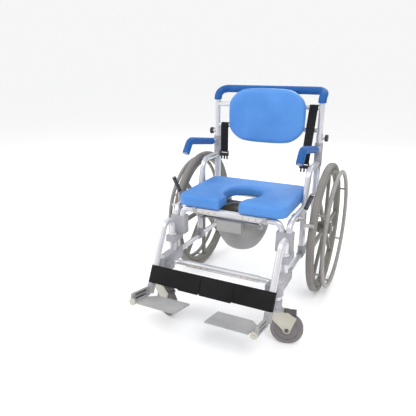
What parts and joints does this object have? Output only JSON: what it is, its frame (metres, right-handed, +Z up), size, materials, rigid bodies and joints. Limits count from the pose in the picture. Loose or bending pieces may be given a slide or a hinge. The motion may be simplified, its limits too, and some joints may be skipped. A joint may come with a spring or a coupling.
{
  "type": "wheeled commode chair",
  "caption": "Self-propelled shower commode chair with horseshoe seat, pan, flip-up arms, swing-away leg rests and push bar.",
  "frame": {"origin": "on the floor, at the middle of the bounding box", "axes": "+Z up, +X to the sitter's left, +Y to the rear"},
  "size_m": [0.74, 1.0455, 0.924],
  "materials": {
    "frame_tube": "satin powder coat",
    "grey_fitting": "satin",
    "steel": "brushed",
    "blue_pad": "soft satin skin",
    "blue_grip": "soft satin skin",
    "webbing": "woven",
    "black_plastic": "semi gloss",
    "dark_plastic": "satin",
    "pan_plastic": "satin",
    "tyre": "matt grey rubber",
    "wheel_plastic": "satin",
    "hand_rim": "satin",
    "castor_plastic": "satin",
    "castor_rubber": "matt",
    "plate_metal": "fine ribbed"
  },
  "bodies": {
    "frame": {"rear_posts": "frame_tube", "side_hoops": "frame_tube", "seat_rails": "frame_tube", "lower_rails": "frame_tube", "crossbar_sleeves": "frame_tube", "crossbar_ends": "frame_tube", "crossbar_buttons": "steel", "front_castings": "grey_fitting", "pivot_posts": "frame_tube", "castor_tubes": "frame_tube", "castor_collars": "grey_fitting", "leg_clamps": "grey_fitting", "arm_sleeves": "grey_fitting", "axle_receivers": "grey_fitting", "wheel_axles": "steel", "brake_brackets": "steel", "pan_hangers": "grey_fitting", "frame_screws": "steel"},
    "back_frame": {"push_bar": "frame_tube", "push_grip": "blue_grip", "back_crossbars": "frame_tube", "back_pad_brackets": "grey_fitting", "back_pad": "blue_pad", "belt_left": "webbing", "belt_right": "webbing", "buckle_left": "black_plastic", "buckle_right": "black_plastic"},
    "seat": {"seat_pad": "blue_pad", "seat_clips": "grey_fitting"},
    "pan": {"commode_pan": "pan_plastic"},
    "rear_wheel_left": {"tyre_left": "tyre", "wheel_left": "wheel_plastic", "hand_rim_left": "hand_rim"},
    "castor_left": {"castor_fork_left": "castor_plastic"},
    "castor_roller_left": {"castor_wheel_left": "castor_rubber", "castor_tyre_left": "castor_rubber"},
    "pedal_left": {"castor_pedal_left": "dark_plastic"},
    "leg_rest_left": {"hanger_left": "frame_tube", "foot_arm_left": "plate_metal", "calf_strap_left": "webbing"},
    "plate_left": {"footplate_left": "plate_metal"},
    "arm_left": {"arm_tube_left": "frame_tube", "arm_grip_left": "blue_grip"},
    "knob_left": {"height_knob_left": "black_plastic"},
    "brake_left": {"brake_lever_left": "steel"},
    "rear_wheel_right": {"tyre_right": "tyre", "wheel_right": "wheel_plastic", "hand_rim_right": "hand_rim"},
    "castor_right": {"castor_fork_right": "castor_plastic"},
    "castor_roller_right": {"castor_wheel_right": "castor_rubber", "castor_tyre_right": "castor_rubber"},
    "pedal_right": {"castor_pedal_right": "dark_plastic"},
    "leg_rest_right": {"hanger_right": "frame_tube", "foot_arm_right": "plate_metal", "calf_strap_right": "webbing"},
    "plate_right": {"footplate_right": "plate_metal"},
    "arm_right": {"arm_tube_right": "frame_tube", "arm_grip_right": "blue_grip"},
    "knob_right": {"height_knob_right": "black_plastic"},
    "brake_right": {"brake_lever_right": "steel"}
  },
  "joints": [
    {"name": "back_height", "type": "slide", "parent": "frame", "child": "back_frame", "axis": [0, 0, 1], "range_m": [0, 0.06]},
    {"name": "seat_lift", "type": "slide", "parent": "frame", "child": "seat", "axis": [0, 0, 1], "range_m": [0, 0.12]},
    {"name": "pan_slide", "type": "slide", "parent": "frame", "child": "pan", "axis": [0, 1, 0], "range_m": [0, 0.35]},
    {"name": "wheel_spin_left", "type": "hinge", "parent": "frame", "child": "rear_wheel_left", "pos_m": [0.314, 0.2225, 0.3], "axis": [1, 0, 0], "continuous": true},
    {"name": "castor_swivel_left", "type": "hinge", "parent": "frame", "child": "castor_left", "pos_m": [0.255, -0.2975, 0.137], "axis": [0, 0, 1], "continuous": true},
    {"name": "castor_roll_left", "type": "hinge", "parent": "castor_left", "child": "castor_roller_left", "pos_m": [0.29575, -0.28734, 0.0625], "axis": [-0.2419, 0.9703, 0], "continuous": true},
    {"name": "castor_pedal_left", "type": "hinge", "parent": "castor_left", "child": "pedal_left", "pos_m": [0.28799, -0.28928, 0.1325], "axis": [-0.2419, 0.9703, 0], "range_deg": [0, 9]},
    {"name": "leg_rest_swing_left", "type": "hinge", "parent": "frame", "child": "leg_rest_left", "pos_m": [0.25, -0.2045, 0.33], "axis": [0, 0, 1], "range_deg": [0, 90]},
    {"name": "footplate_flip_left", "type": "hinge", "parent": "leg_rest_left", "child": "plate_left", "pos_m": [0.24, -0.5225, 0.158], "axis": [0, 0.9781, -0.2079], "range_deg": [0, 90]},
    {"name": "arm_flip_left", "type": "hinge", "parent": "frame", "child": "arm_left", "pos_m": [0.25, 0.2145, 0.661], "axis": [-1, 0, 0], "range_deg": [0, 80]},
    {"name": "knob_turn_left", "type": "hinge", "parent": "frame", "child": "knob_left", "pos_m": [0.285, 0.2555, 0.707], "axis": [1, 0, 0], "continuous": true},
    {"name": "brake_pull_left", "type": "hinge", "parent": "frame", "child": "brake_left", "pos_m": [0.286, -0.0705, 0.43], "axis": [1, 0, 0], "range_deg": [0, 18]},
    {"name": "wheel_spin_right", "type": "hinge", "parent": "frame", "child": "rear_wheel_right", "pos_m": [-0.314, 0.2225, 0.3], "axis": [1, 0, 0], "continuous": true},
    {"name": "castor_swivel_right", "type": "hinge", "parent": "frame", "child": "castor_right", "pos_m": [-0.255, -0.2975, 0.137], "axis": [0, 0, 1], "continuous": true},
    {"name": "castor_roll_right", "type": "hinge", "parent": "castor_right", "child": "castor_roller_right", "pos_m": [-0.21693, -0.31525, 0.0625], "axis": [0.4226, 0.9063, 0], "continuous": true},
    {"name": "castor_pedal_right", "type": "hinge", "parent": "castor_right", "child": "pedal_right", "pos_m": [-0.22419, -0.31187, 0.1325], "axis": [0.4226, 0.9063, 0], "range_deg": [0, 9]},
    {"name": "leg_rest_swing_right", "type": "hinge", "parent": "frame", "child": "leg_rest_right", "pos_m": [-0.25, -0.2045, 0.33], "axis": [0, 0, -1], "range_deg": [0, 90]},
    {"name": "footplate_flip_right", "type": "hinge", "parent": "leg_rest_right", "child": "plate_right", "pos_m": [-0.24, -0.5225, 0.158], "axis": [0, -0.9781, 0.2079], "range_deg": [0, 90]},
    {"name": "arm_flip_right", "type": "hinge", "parent": "frame", "child": "arm_right", "pos_m": [-0.25, 0.2145, 0.661], "axis": [-1, 0, 0], "range_deg": [0, 80]},
    {"name": "knob_turn_right", "type": "hinge", "parent": "frame", "child": "knob_right", "pos_m": [-0.285, 0.2555, 0.707], "axis": [-1, 0, 0], "continuous": true},
    {"name": "brake_pull_right", "type": "hinge", "parent": "frame", "child": "brake_right", "pos_m": [-0.286, -0.0705, 0.43], "axis": [1, 0, 0], "range_deg": [0, 18]}
  ]
}
